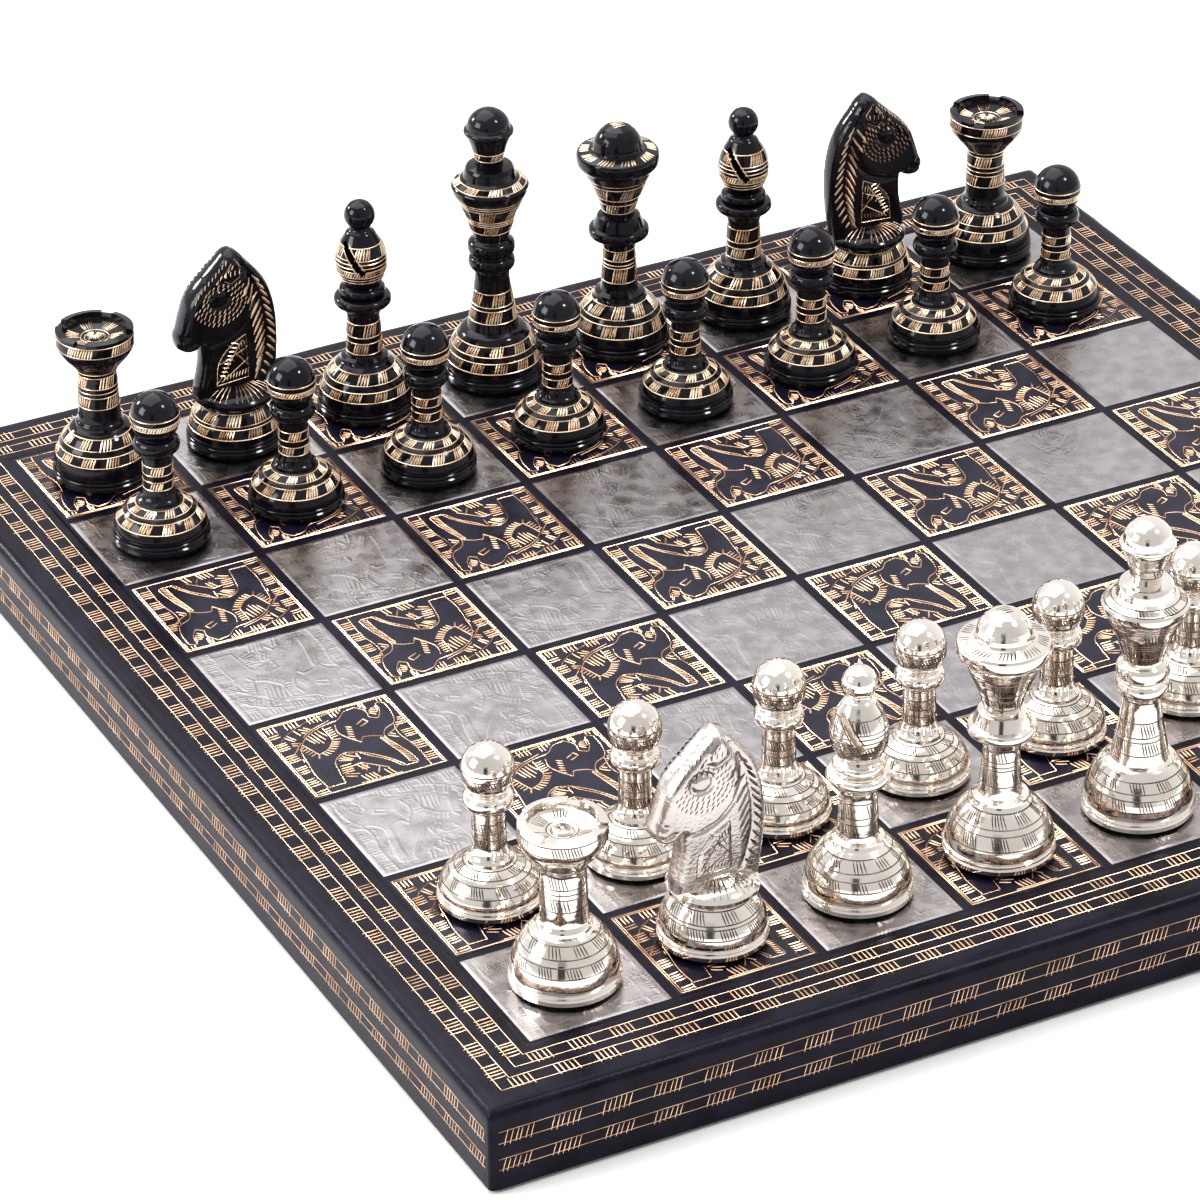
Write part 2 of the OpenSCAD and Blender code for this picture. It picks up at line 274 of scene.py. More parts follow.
class Turned:
    """The surface of a turned man about its own axis, in millimetres above the board."""

    def __init__(self, node, centre, z_limit=1e9):
        mesh = NODES[node].data
        co = np.empty(len(mesh.vertices) * 3)
        mesh.vertices.foreach_get("co", co)
        co = co.reshape(-1, 3)
        x, y, z = (co[:, 0] - centre[0]) / MM, (co[:, 1] - centre[1]) / MM, (co[:, 2] - TOP) / MM
        keep = (np.abs(y) < 0.002) & (np.abs(x) > 0.05) & (z > PAD_T - 0.01) & (z < z_limit)
        rings = np.unique(np.round(np.stack([z[keep], -np.abs(x[keep])], axis=1), 2), axis=0)
        rings = rings * [1, -1]
        self.height = min(z.max(), z_limit)
        bowl = (rings[:, 0] > 35.5) & (rings[:, 1] < 7.45) if "rook" in node else np.zeros(len(rings), bool)
        outer = [(r, z) for z, r in rings[~bowl]]
        inner = sorted(((r, z) for z, r in rings[bowl]), reverse=True)
        stations = [(0.0, outer[0][1])] + outer + inner
        top = stations[-1][1] + (0.3 if inner else 0.0)
        stations.append((0.0, top if inner else self.height))
        self.path = smooth_path(stations, 0.55, corner=34)
        self.s = np.concatenate([[0], np.cumsum(np.linalg.norm(np.diff(self.path, axis=0), axis=1))])

    def lathe(self, angle=2 * pi * np.arange(112) / 112):
        """The skin as a mesh part, with one seam at each angle."""
        path = self.path.copy()
        path[[0, -1], 0] = 0.004
        segments = len(angle)
        ring = np.stack([np.cos(angle), np.sin(angle)], axis=1)
        level = np.repeat(path[:, None, 1:], segments, axis=1)
        verts = np.concatenate([path[:, None, :1] * ring[None], level], axis=2)
        return verts.reshape(-1, 3), sheet_faces(len(path), segments, closed=True)

    def s_at_height(self, z):
        """Distance along the outline to a height on the outer face."""
        rising = np.maximum.accumulate(self.path[:, 1])
        return float(np.interp(z, rising + np.arange(len(rising)) * 1e-7, self.s))

    def s_at_radius(self, r):
        """Distance along the outline to a radius on the inner, upper face."""
        inner = np.arange(len(self.path)) > np.argmax(self.path[:, 1])
        radius = self.path[inner, 0][::-1]
        return float(np.interp(r, radius, self.s[inner][::-1]))

    def at(self, angle, s):
        """Point and outward normal at an angle and a distance along the outline."""
        angle, s = np.broadcast_arrays(np.asarray(angle, float), np.asarray(s, float))
        r, z = np.interp(s, self.s, self.path[:, 0]), np.interp(s, self.s, self.path[:, 1])
        dr = np.interp(s + 0.2, self.s, self.path[:, 0]) - np.interp(s - 0.2, self.s, self.path[:, 0])
        dz = np.interp(s + 0.2, self.s, self.path[:, 1]) - np.interp(s - 0.2, self.s, self.path[:, 1])
        norm = np.maximum(np.hypot(dr, dz), 1e-9)
        point = np.stack([r * np.cos(angle), r * np.sin(angle), z], axis=-1)
        normal = np.stack([dz / norm * np.cos(angle), dz / norm * np.sin(angle), -dr / norm], axis=-1)
        return point, normal

    def ring(self, s, width=0.38, height=0.09):
        """A line cut all the way round."""
        point, normal = self.at(np.linspace(0, 2 * pi, 73)[None], s)
        return ridges(point, normal, width, height)

    def strokes(self, s0, s1, groups, rng, share=0.62, pitch=0.66, slant=0.75, width=0.56, height=0.1):
        """Groups of short slanted strokes between two lines, with plain cells between the groups."""
        radius = float(np.interp((s0 + s1) / 2, self.s, self.path[:, 0]))
        cell = 2 * pi / groups
        count = max(3, int(round(cell * share * radius / pitch)))
        phase = rng.uniform(0, cell)
        starts, ends = [], []
        for g in range(groups):
            first = phase + g * cell + rng.normal(0, 0.03) * cell
            for k in range(count):
                angle = first + (k + 0.5) / count * cell * share + rng.normal(0, 0.05) * pitch / radius
                lean = slant * (1 + rng.normal(0, 0.15)) / radius
                starts.append((angle - lean / 2, s0 - rng.uniform(0, 0.12)))
                ends.append((angle + lean / 2, s1 + rng.uniform(0, 0.12)))
        starts, ends = np.array(starts), np.array(ends)
        t = np.linspace(0, 1, 4)[None, :, None]
        spots = starts[:, None] * (1 - t) + ends[:, None] * t
        point, normal = self.at(spots[..., 0], spots[..., 1])
        return ridges(point, normal, width, height)

    def band(self, z0, z1, groups, rng, **kw):
        """A band of strokes between two cut lines, at two heights."""
        s0, s1 = self.s_at_height(z0), self.s_at_height(z1)
        return [self.ring(s0), self.ring(s1), self.strokes(s0, s1, groups, rng, **kw)]


# Bands on each kind of man: lowest and highest height above the board, and groups of strokes round it
BANDS = {
    "pawn": [(6.0, 8.0, 11), (8.9, 10.0, 9), (14.0, 16.1, 4), (17.7, 19.9, 4), (30.0, 31.2, 2)],
    "rook": [(7.0, 9.2, 11), (10.6, 12.8, 10), (19.2, 22.1, 4), (24.4, 27.2, 4), (34.8, 37.2, 5)],
    "knight": [(5.6, 7.8, 10), (8.5, 10.9, 9)],
    "bishop": [
        (6.4, 8.6, 11), (10.1, 12.3, 10), (15.9, 18.7, 4), (20.2, 23.6, 4), (36.9, 38.4, 2),
        (41.3, 44.1, 5),
    ],
    "queen": [
        (6.3, 9.2, 10), (10.4, 12.9, 9), (17.8, 21.6, 4), (23.5, 26.0, 4), (36.3, 38.8, 5),
        (40.3, 43.8, 6),
    ],
    "king": [
        (5.7, 8.1, 12), (9.5, 11.6, 10), (16.1, 19.1, 5), (20.1, 23.4, 5), (39.4, 41.8, 5),
        (43.0, 46.4, 6), (51.4, 52.4, 8), (57.7, 59.6, 4),
    ],
}
# Lone lines cut round each kind
LINES = {
    "pawn": [32.5],
    "rook": [23.2, 28.3],
    "knight": [],
    "bishop": [35.3, 36.1, 39.4, 40.4],
    "queen": [22.4, 45.0],
    "king": [42.4, 47.2, 47.9],
}


def engraving(kind, man, rng, lean, width):
    """Every stroke and line cut into a turned man; lean is which way the strokes slant."""
    parts = []
    for z0, z1, groups in BANDS[kind]:
        share = 1.0 if groups < 3 else 0.56
        parts += man.band(z0, z1, groups, rng, share=share, slant=0.7 * lean, width=width)
    parts += [man.ring(man.s_at_height(z)) for z in LINES[kind]]
    if kind == "rook":
        outer, inner = man.s_at_radius(6.5), man.s_at_radius(3.8)
        parts.append(man.strokes(outer, inner, 6, rng, share=0.55, pitch=0.6, slant=0.2, width=0.4))
        outer, inner = man.s_at_radius(2.1), man.s_at_radius(0.5)
        parts.append(man.strokes(outer, inner, 1, rng, share=1, pitch=0.42, slant=0, width=0.34))
        parts += [man.ring(man.s_at_radius(r)) for r in (3.3, 2.4)]
    if kind == "queen":
        low, high = man.s_at_height(51.3), man.s_at_height(51.75)
        parts.append(man.strokes(low, high, 9, rng, share=0.7, pitch=0.75, slant=0.5))
        across = np.linspace(-1.1, 1.1, 4)
        run = np.linspace(-1.5, 1.5, 5)
        radius = man.path[man.path[:, 1] > 53, 0].max()
        x, y = np.meshgrid(run, across)
        z = man.height - radius + np.sqrt(radius**2 - x**2 - y**2)
        parts.append(ridges(np.stack([x, y, z], axis=2), (0, 0, 1), 0.4, 0.06))
    if kind == "knight":
        low, high = man.s_at_height(14.4), man.s_at_height(16.2)
        parts.append(man.strokes(low, high, 6, rng, share=0.9, pitch=1.0, slant=0.4, width=0.5))
    return parts


# ---- The horse's head and neck ----

# Side views of the horse, muzzle towards -X: its outline, as in the CAD, and the parts that stand out
HORSE = [
    (0.4, 50.3), (-0.8, 49.9), (-3, 47.9), (-5.6, 45.4),
    (-8.6, 42.6), (-11, 39.4), (-12.3, 36), (-13.4, 32.4),
    (-14.2, 30.2), (-14, 28.2), (-12.6, 27.2), (-10, 27.1),
    (-8.3, 28.2), (-8.2, 24), (-8.8, 20), (-9.6, 16.4),
    (-9.4, 13.2), (9.4, 13.2), (9.9, 16.4), (10.6, 21), (10.9, 27), (10.7, 33), (9.9, 37.2), (8.7, 40.6),
    (6.9, 43.6), (4.6, 46.4), (1.4, 49.9),
]
HEAD = [
    (0.2, 51.5), (-7, 47), (-12.5, 40), (-15, 31), (-13.5, 26.3), (-9.5, 26.8), (-5.5, 27.4),
    (0.0, 29.3), (3.6, 33), (5.0, 38), (4.2, 43), (2.0, 47),
]
EAR_SHAPE = [(0.2, 49.4), (-2.6, 46.6), (-3.0, 44.2), (-0.8, 43.2), (1.8, 44.6), (2.4, 46.6)]
NECK_PANEL = [(-5.3, 17.0), (-4.4, 23.2), (-1.0, 26.9), (2.4, 28.8), (2.8, 17.6)]
EYE = (-4.2, 39.8)


def edge_distance(outline, x, z):
    """Distance to a closed outline, positive inside."""
    a = np.asarray(outline, float)
    b = np.roll(a, -1, axis=0)
    shape = x.shape
    px, pz = x.ravel()[:, None], z.ravel()[:, None]
    d = b - a
    along = (px - a[:, 0]) * d[:, 0] + (pz - a[:, 1]) * d[:, 1]
    t = np.clip(along / np.maximum((d**2).sum(axis=1), 1e-12), 0, 1)
    near = np.hypot(px - a[:, 0] - t * d[:, 0], pz - a[:, 1] - t * d[:, 1]).min(axis=1)
    crosses = (a[:, 1] > pz) != (b[:, 1] > pz)
    x_cross = a[:, 0] + (pz - a[:, 1]) / np.where(np.abs(d[:, 1]) < 1e-12, 1e-12, d[:, 1]) * d[:, 0]
    inside = (crosses & (px < x_cross)).sum(axis=1) % 2 == 1
    return np.where(inside, near, -near).reshape(shape)


def path_distance(path, x, z):
    """Distance to an open path."""
    a = np.asarray(path[:-1], float)
    d = np.asarray(path[1:], float) - a
    shape = np.shape(x)
    px, pz = np.ravel(x)[:, None], np.ravel(z)[:, None]
    along = (px - a[:, 0]) * d[:, 0] + (pz - a[:, 1]) * d[:, 1]
    t = np.clip(along / np.maximum((d**2).sum(axis=1), 1e-12), 0, 1)
    return np.hypot(px - a[:, 0] - t * d[:, 0], pz - a[:, 1] - t * d[:, 1]).min(axis=1).reshape(shape)


def step_up(d, width):
    """0 where d is negative, 1 past width, smooth between."""
    t = np.clip(d / width, 0, 1)
    return t * t * (3 - 2 * t)


HORSE_EDGE = smooth_path(HORSE, 0.5, closed=True, corner=42)
SPINE = smooth_path(
    [
        (4.4, 43.6), (6.0, 40.2), (7.0, 35.4), (7.6, 30.8), (7.6, 26.3), (6.8, 22.2), (5.7, 18.6),
        (5.0, 17.0),
    ],
    0.7,
)
CHEEK_LINE = smooth_path(
    [(2.4, 46.8), (4.6, 43), (5.0, 38.2), (3.6, 33.2), (0.0, 29.5), (-5.2, 27.8), (-8.8, 28.4)], 0.6,
)
MOUTH = [(-14.2, 29.0), (-12.2, 28.9), (-10.4, 29.6)]


def horse_side(x, z):
    """How far the horse's flank stands out from its middle plane."""
    d = edge_distance(HORSE_EDGE, x, z)
    rim = np.sqrt(np.clip(1 - (1 - np.clip(d / 1.8, 0, 1)) ** 2, 0, 1))
    y = 2.95 + 0.75 * step_up(edge_distance(HEAD, x, z), 1.3)
    y -= 0.35 * np.exp(-((path_distance(SPINE, x, z) / 0.45) ** 2))
    y += 0.35 * step_up(edge_distance(EAR_SHAPE, x, z), 0.8)
    y -= 0.35 * np.exp(-((edge_distance(EAR_SHAPE, x, z) + 0.5) ** 2) / 0.2)
    from_eye = np.hypot((x - EYE[0]) / 1.1, z - EYE[1])
    y += 0.5 * np.sqrt(np.clip(1 - (from_eye / 1.9) ** 2, 0, 1))
    y -= 0.45 * np.exp(-(((from_eye - 2.3) / 0.45) ** 2))
    y -= 0.5 * np.exp(-((path_distance(MOUTH, x, z) / 0.4) ** 2))
    y -= 0.5 * np.exp(-(np.hypot(x + 12.4, z - 31.6) ** 2) / 0.4)
    y -= 0.5 * np.exp(-((path_distance(CHEEK_LINE, x, z) / 0.5) ** 2))
    y += 0.3 * step_up(edge_distance(NECK_PANEL, x, z), 0.5)
    y -= 0.25 * step_up(-z + 20 + 0.4 * x, 6) * step_up(-x - 4, 2)
    low = 1.3
    return low + (np.minimum(y, 4.2) - low) * rim, d


def horse_part():
    """The horse as two relief flanks joined along its outline."""
    step = 0.3
    xs, zs = np.arange(-15, 12, step), np.arange(13, 51.2, step)
    x, z = np.meshgrid(xs, zs, indexing="ij")
    d = edge_distance(HORSE_EDGE, x, z)
    inside = d > 0
    cell = inside[:-1, :-1] & inside[1:, :-1] & inside[:-1, 1:] & inside[1:, 1:]
    used = np.zeros_like(inside)
    for i, j in ((0, 0), (1, 0), (0, 1), (1, 1)):
        used[i : i + cell.shape[0], j : j + cell.shape[1]] |= cell
    index = -np.ones(inside.shape, int)
    index[used] = np.arange(used.sum())
    full = np.zeros(inside.shape, int)
    for i, j in ((0, 0), (1, 0), (0, 1), (1, 1)):
        full[i : i + cell.shape[0], j : j + cell.shape[1]] += cell
    px, pz = x[used], z[used]
    rim = full[used] < 4
    a = HORSE_EDGE
    b = np.roll(a, -1, axis=0)
    e = b - a
    along = (px[rim, None] - a[:, 0]) * e[:, 0] + (pz[rim, None] - a[:, 1]) * e[:, 1]
    t = np.clip(along / (e**2).sum(axis=1), 0, 1)
    nx, nz = a[:, 0] + t * e[:, 0], a[:, 1] + t * e[:, 1]
    best = np.hypot(nx - px[rim, None], nz - pz[rim, None]).argmin(axis=1)
    px, pz = px.copy(), pz.copy()
    px[rim], pz[rim] = nx[np.arange(len(best)), best], nz[np.arange(len(best)), best]
    y, _ = horse_side(px, pz)
    y[rim] = 1.3
    count = len(px)
    verts = np.concatenate([np.stack([px, -y, pz], axis=1), np.stack([px, y, pz], axis=1)])
    i, j = np.nonzero(cell)
    quad = np.stack([index[i, j], index[i + 1, j], index[i + 1, j + 1], index[i, j + 1]], axis=1)
    edges = np.concatenate([quad[:, [k, (k + 1) % 4]] for k in range(4)])
    seen = set(map(tuple, edges))
    border = np.array([e for e in map(tuple, edges) if (e[1], e[0]) not in seen])
    wall = np.stack([border[:, 1], border[:, 0], border[:, 0] + count, border[:, 1] + count], axis=1)
    return verts, np.concatenate([quad, quad[:, ::-1] + count, wall])


def on_flank(spots, side):
    """Points on the horse's flank for (x, z) spots."""
    y, _ = horse_side(spots[..., 0], spots[..., 1])
    return np.stack([spots[..., 0], side * y, spots[..., 1]], axis=-1)


def dash(starts, ends, steps=3):
    """Straight strokes from starts to ends, as spots with a few steps."""
    t = np.linspace(0, 1, steps)[None, :, None]
    return np.asarray(starts)[:, None] * (1 - t) + np.asarray(ends)[:, None] * t


def horse_engraving(rng):
    """Strokes on both flanks: dashes round the eye and on the brow, a herringbone mane, a hatched panel."""
    parts = []

    def cut(starts, ends, width, height, steps=3):
        for side in (-1, 1):
            parts.append(ridges(on_flank(dash(starts, ends, steps), side), (0, side, 0), width, height))

    starts, ends = [], []
    for k, radius in enumerate((2.9, 3.9, 4.9, 5.9)):
        count = int(2 * pi * radius / 1.15)
        for a in 2 * pi * (np.arange(count) + 0.5 * (k % 2)) / count:
            at = np.array([EYE[0] + 0.5 + 1.1 * radius * cos(a), EYE[1] - 0.7 + radius * sin(a)])
            from_rim = edge_distance(HORSE_EDGE, at[:1], at[1:])[0]
            if from_rim < 1.8 or edge_distance(HEAD, at[:1], at[1:])[0] < 1.2:
                continue
            if edge_distance(EAR_SHAPE, at[:1], at[1:])[0] > -0.7 or (k > 1 and 1.7 < a < 3.3):
                continue
            lean = np.array([0.28, 0.44]) * rng.uniform(0.75, 1.2)
            starts.append(at - lean)
            ends.append(at + lean)
    brow = np.array([(-1.6, 48.2), (-5.2, 44.9), (-8.9, 41.2), (-10.9, 37.4), (-11.9, 34.0)])
    for shift, stop in ((0.0, 9.9), (1.5, 4.6)):
        for p in smooth_path(brow, 1.25):
            at = p + np.array([0.75, -0.6]) * shift
            if -at[0] < stop:
                lean = np.array([0.22, 0.5]) * rng.uniform(0.7, 1.2)
                starts.append(at - lean)
                ends.append(at + lean)
    cut(starts, ends, 0.44, 0.12)
    spine = smooth_path(SPINE[::3], 1.9)
    reach = np.interp(spine[:, 1], [17, 22, 30, 44], [0.35, 0.8, 1, 0.8])[:, None]
    inner, outer = spine + reach * [-2.9, -5.6], spine + [0.35, -0.1] + reach * [2.1, -2.6]
    inner[:, 1] = np.maximum(inner[:, 1], 16.6)
    outer[:, 1] = np.maximum(outer[:, 1], 16.4)
    inside = edge_distance(HORSE_EDGE, outer[:, 0], outer[:, 1]) > 0.6
    cut(spine + [-0.35, -0.6], inner, 0.78, 0.2, 5)
    cut((spine + [0.35, -0.1])[inside], outer[inside], 0.72, 0.2, 5)
    ear = np.array(EAR_SHAPE + EAR_SHAPE[:1]) * [0.8, 1] + [0, -0.35]
    cut(ear[:-1], ear[1:], 0.32, 0.08)
    low = np.linspace(0.15, 0.85, 4)[:, None]
    fur = np.array(EAR_SHAPE[2]) * (1 - low) + np.array(EAR_SHAPE[4]) * low
    cut(fur + [0.1, 0.6], fur + [0.2, 2.0], 0.4, 0.1)
    panel = smooth_path(np.array(NECK_PANEL), 1.2, corner=40)
    frame_line = np.concatenate([panel, panel[:1]])
    cut(frame_line[:-1], frame_line[1:], 0.4, 0.12)
    foot = np.array([-5.1, 17.7])
    cut([foot, foot + [0.9, 0.2]], [(1.4, 27.6), (2.8, 22.6)], 0.36, 0.12, 8)
    cut([(-4.7, 22.4), (2.8, 20.6)], [(2.7, 25.6), (-2.2, 27.0)], 0.3, 0.1, 8)
    starts = np.linspace((-4.6, 19.6), (-1.2, 27.2), 9)
    cut(starts, starts + [1.5, -0.35], 0.42, 0.12)
    starts = np.linspace((-3.6, 18.1), (2.5, 18.7), 9)
    cut(starts, starts + [0.35, 1.3], 0.42, 0.12)
    starts = np.linspace((-0.4, 27.2), (2.3, 28.6), 5)
    cut(starts, starts + [0.4, -2.4], 0.42, 0.12)
    starts = np.linspace((-3.0, 23.6), (0.6, 25.4), 4)
    cut(starts, starts + [0.9, -1.7], 0.36, 0.1)
    return parts


# ---- Building the men ----


def felt_pad(radius):
    """A pad of felt whose cut edge is a little uneven."""
    segments = 72
    rows = [(0, 0.01), (radius * 0.6, 0.0), (radius - 0.1, 0.0)]
    rows += [(radius, PAD_T / 2), (radius - 0.1, PAD_T), (0, PAD_T)]
    verts = []
    for r, z in rows:
        for k in range(segments):
            a = 2 * pi * k / segments
            out = max(r, 0.004) + (0.12 * wobble(6 * cos(a), 6 * sin(a), z) if r > radius * 0.8 else 0)
            verts.append((out * cos(a), out * sin(a), z))
    return np.array(verts), sheet_faces(len(rows), segments, closed=True)


NOTCHES = pi / 4 + pi / 2 * np.arange(4)
NOTCH_HALF = radians(10.2)
NOTCH_DEPTH = 0.9
BOWL_RADIUS = 7.05


def rook_angles():
    """Seams round a rook, close together at the walls of its notches."""
    walls = [n + side * (NOTCH_HALF + gap) for n in NOTCHES for side in (-1, 1) for gap in (-0.004, 0.004)]
    even = 2 * pi * np.arange(112) / 112
    near = np.abs((even[:, None] - np.array(walls) + pi) % (2 * pi) - pi).min(axis=1)
    return np.sort(np.concatenate([even[near > 0.02], np.array(walls) % (2 * pi)]))


def notched(part, height):
    """Sinks the notches into a rook's rim."""
    verts, faces = part
    verts = verts.copy()
    angle = np.arctan2(verts[:, 1], verts[:, 0])
    off = np.abs((angle[:, None] - NOTCHES + pi) % (2 * pi) - pi).min(axis=1)
    outside = np.hypot(verts[:, 0], verts[:, 1]) > BOWL_RADIUS
    rim = outside & (verts[:, 2] > height - NOTCH_DEPTH) & (off < NOTCH_HALF)
    verts[rim, 2] = height - NOTCH_DEPTH + 0.02 * (verts[rim, 2] - height)
    return verts, faces


SLOT_SIZE = np.array([1.3, 5, 9])
SLOT_ROUND = radians(-45)
SLOT_SPIN = np.array(Matrix.Rotation(SLOT_ROUND, 3, "Z"))
SLOT_TURN = SLOT_SPIN @ np.array(Matrix.Rotation(radians(-35), 3, "Y"))


def slot_middle(height):
    return SLOT_SPIN @ [0, -5.4, 0.76 * height]


def mitre_cut(part, height):
    """The faces of a part that lie clear of the slanting cut in a bishop's mitre."""
    verts, faces = part
    off = (verts[faces].mean(axis=1) - slot_middle(height)) @ SLOT_TURN
    return verts, faces[(np.abs(off) > SLOT_SIZE / 2).any(axis=1)]


def cut_mitre(obj, height, place):
    """Takes the slanting cut out of a bishop's mitre with a thin blade."""
    blade = bpy.data.meshes.new("blade")
    corners = np.array([(x, y, z) for x in (-0.5, 0.5) for y in (-0.5, 0.5) for z in (-0.5, 0.5)]) * SLOT_SIZE
    verts = (corners @ SLOT_TURN.T + slot_middle(height) + place) * MM
    faces = [(0, 1, 3, 2), (4, 6, 7, 5), (0, 4, 5, 1), (2, 3, 7, 6), (0, 2, 6, 4), (1, 5, 7, 3)]
    blade.from_pydata([tuple(v) for v in verts], [], faces)
    tool = bpy.data.objects.new("blade", blade)
    bpy.context.collection.objects.link(tool)
    cut = obj.modifiers.new("slot", "BOOLEAN")
    cut.operation = "DIFFERENCE"
    cut.object = tool
    cut.solver = "EXACT"
    graph = bpy.context.evaluated_depsgraph_get()
    done = bpy.data.meshes.new_from_object(obj.evaluated_get(graph))
    obj.modifiers.clear()
    obj.data = done
    bpy.data.objects.remove(tool)


def slot_edges(man):
    """Strokes that follow both edges of the cut in a mitre."""
    middle, parts = slot_middle(man.height), []
    for side in (-1, 1):
        spots, normals = [], []
        for t in np.linspace(-3.6, 3.6, 13):
            x, _, z = SLOT_SPIN.T @ (SLOT_TURN @ np.array([side * 0.95, 0, t]) + middle)
            r = float(np.interp(man.s_at_height(z), man.s, man.path[:, 0]))
            angle = np.arctan2(-np.sqrt(max(r * r - x * x, 0)), x) + SLOT_ROUND
            point, normal = man.at(angle, man.s_at_height(z))
            spots.append(point)
            normals.append(normal)
        parts.append(ridges(np.array([spots]), np.array([normals]), 0.42, 0.1))
    return parts


def kind_of(node):
    return node.split("_")[1]


def build_man(node, rng):
    """One man: metal body, its engraving and its felt pad."""
    kind = kind_of(node)
    silver = node.startswith("silver")
    pawn = kind == "pawn"
    body = node + "_man"
    centre = node_centre(node if pawn else node + "_felt")
    man = Turned(node, centre, 17.0 if kind == "knight" else 1e9)
    skin = [man.lathe(rook_angles()) if kind == "rook" else man.lathe()]
    cuts = engraving(kind, man, rng, *((-1, 0.36) if silver else (1, 0.56)))
    turn = 0.0
    if kind == "knight":
        cuts += horse_engraving(rng)
        turn = pi if centre[0] > 0 else 0.0
    if kind == "rook":
        skin = [notched(part, man.height) for part in skin]
        cuts = [notched(part, man.height) for part in cuts]
    if kind == "bishop":
        cuts = [mitre_cut(part, man.height) for part in cuts] + slot_edges(man)
    place = (centre[0] / MM, centre[1] / MM, TOP / MM)
    metal, cut_metal_and_shade = (NICKEL, SHADED_CUT_NICKEL) if silver else (LACQUER, GOLD)
    made = piece(node + "_metal", mesh_from(node, moved(skin, *place, turn), metal), body, (node,))
    if kind == "bishop":
        cut_mitre(made, man.height, np.array(place))
    if kind == "knight":
        cast = CAST_NICKEL if silver else LACQUER
        horse = mesh_from(node + "_horse", moved([horse_part()], *place, turn), cast)
        piece(node + "_horse", horse, body)
    cut_mesh = mesh_from(node + "_cuts", moved(cuts, *place, turn), cut_metal_and_shade)
    piece(node + "_engraving", cut_mesh, body)
    radius = man.path[:, 0].max() - 1.4
    pad = mesh_from(node + "_pad", moved([felt_pad(radius)], *place), FELT_AND_PAINTED_SHADE)
    piece(node + "_felt_pad", pad, body, () if pawn else (node + "_felt",))


# ---- The board ----


def square_ring(half, corner, side_steps=60, arc_steps=5):
    """Points round a square with rounded corners, the same number whatever its size."""
    points = []
    for k in range(4):
        c, s = cos(k * pi / 2), sin(k * pi / 2)
        run = [(half, y) for y in np.linspace(-(half - corner), half - corner, side_steps + 1)]
        for a in np.linspace(0, pi / 2, arc_steps + 2)[1:-1]:
            run.append((half - corner + corner * cos(a), half - corner + corner * sin(a)))
        points += [(c * x - s * y, s * x + c * y) for x, y in run]
    return np.array(points)


def square_lathe(stations, corner=1.0):
    """A skin swept round a square: stations are (half size, height, how dented the metal is there)."""
    rings = []
    for half, z, dents in stations:
        ring = square_ring(half, min(corner, half * 0.4))
        height = np.full((len(ring), 1), z)
        if dents:
            for k, p in enumerate(ring):
                fine = 0.6 * wobble(p[0] / 2.2, p[1] / 2.2, z / 2)
                dent = dents * (wobble(p[0] / 7, p[1] / 7, z / 4) + fine)
                p *= 1 + dent / half
                height[k] += 0.6 * dent
        rings.append(np.hstack([ring, height]))
    cols = len(rings[0])
    return np.concatenate(rings), sheet_faces(len(rings), cols, closed=True)


BORDER_LINES = [(137.6, 140.8), (143.5, 146.7)]
SIDE_LINES = [(5.3, 8.1), (11.9, 14.4)]
EDGE_R = 2.4


def border_cuts(rng):
    """The gold bands round the top and the sides: paired lines with groups of strokes across them."""
    parts, top_z = [], TOP / MM
    for k in range(4):
        cuts = []
        for near, far in BORDER_LINES:
            for o in (near, far):
                y = np.linspace(-o, o, 120)
                x = o + np.array([0.12 * wobble(v / 6, o, k) for v in y])
                line = np.stack([x, y, np.full_like(y, top_z)], axis=1)[None]
                cuts.append(ridges(line, (0, 0, 1), 0.3, 0.07))
            starts, ends = stroke_row(near, far, near - 2.5, 9.2, 5, 1.1, 0.1, rng)
            cuts.append(ridges(np.insert(dash(starts, ends), 2, top_z, axis=2), (0, 0, 1), 0.5, 0.09))
        for high, low in SIDE_LINES:
            for depth in (high, low):
                y = np.linspace(2 - HALF, HALF - 2, 120)
                z = top_z - depth + np.array([0.12 * wobble(v / 6, depth, k) for v in y])
                line = np.stack([np.full_like(y, HALF), y, z], axis=1)[None]
                cuts.append(ridges(line, (1, 0, 0), 0.3, 0.07))
            starts, ends = stroke_row(-high, -low, HALF - 6, 11.2, 6, 1.15, -0.8, rng)
            spots = dash(starts, ends)
            spots = np.stack([np.full(spots.shape[:2], HALF), spots[..., 1], top_z + spots[..., 0]], axis=2)
            cuts.append(ridges(spots, (1, 0, 0), 0.36, 0.08))
        parts += moved(cuts, 0, 0, 0, k * pi / 2)
    return parts


def stroke_row(near, far, reach, pitch, count, gap, lean, rng):
    """Starts and ends of short strokes in groups, as (across, along), a little past the band's far line."""
    starts, ends = [], []
    past = np.sign(far - near)
    groups = round(2 * reach / pitch)
    for g in range(groups + 1):
        middle = -reach + g * 2 * reach / groups + rng.normal(0, 0.3)
        for k in range(count):
            y = middle + (k - (count - 1) / 2) * gap + rng.normal(0, 0.06)
            starts.append((near + past * rng.uniform(0, 0.4), y - lean / 2))
            ends.append((far + past * rng.uniform(0.2, 0.7), y + lean / 2))
    return np.array(starts), np.array(ends)


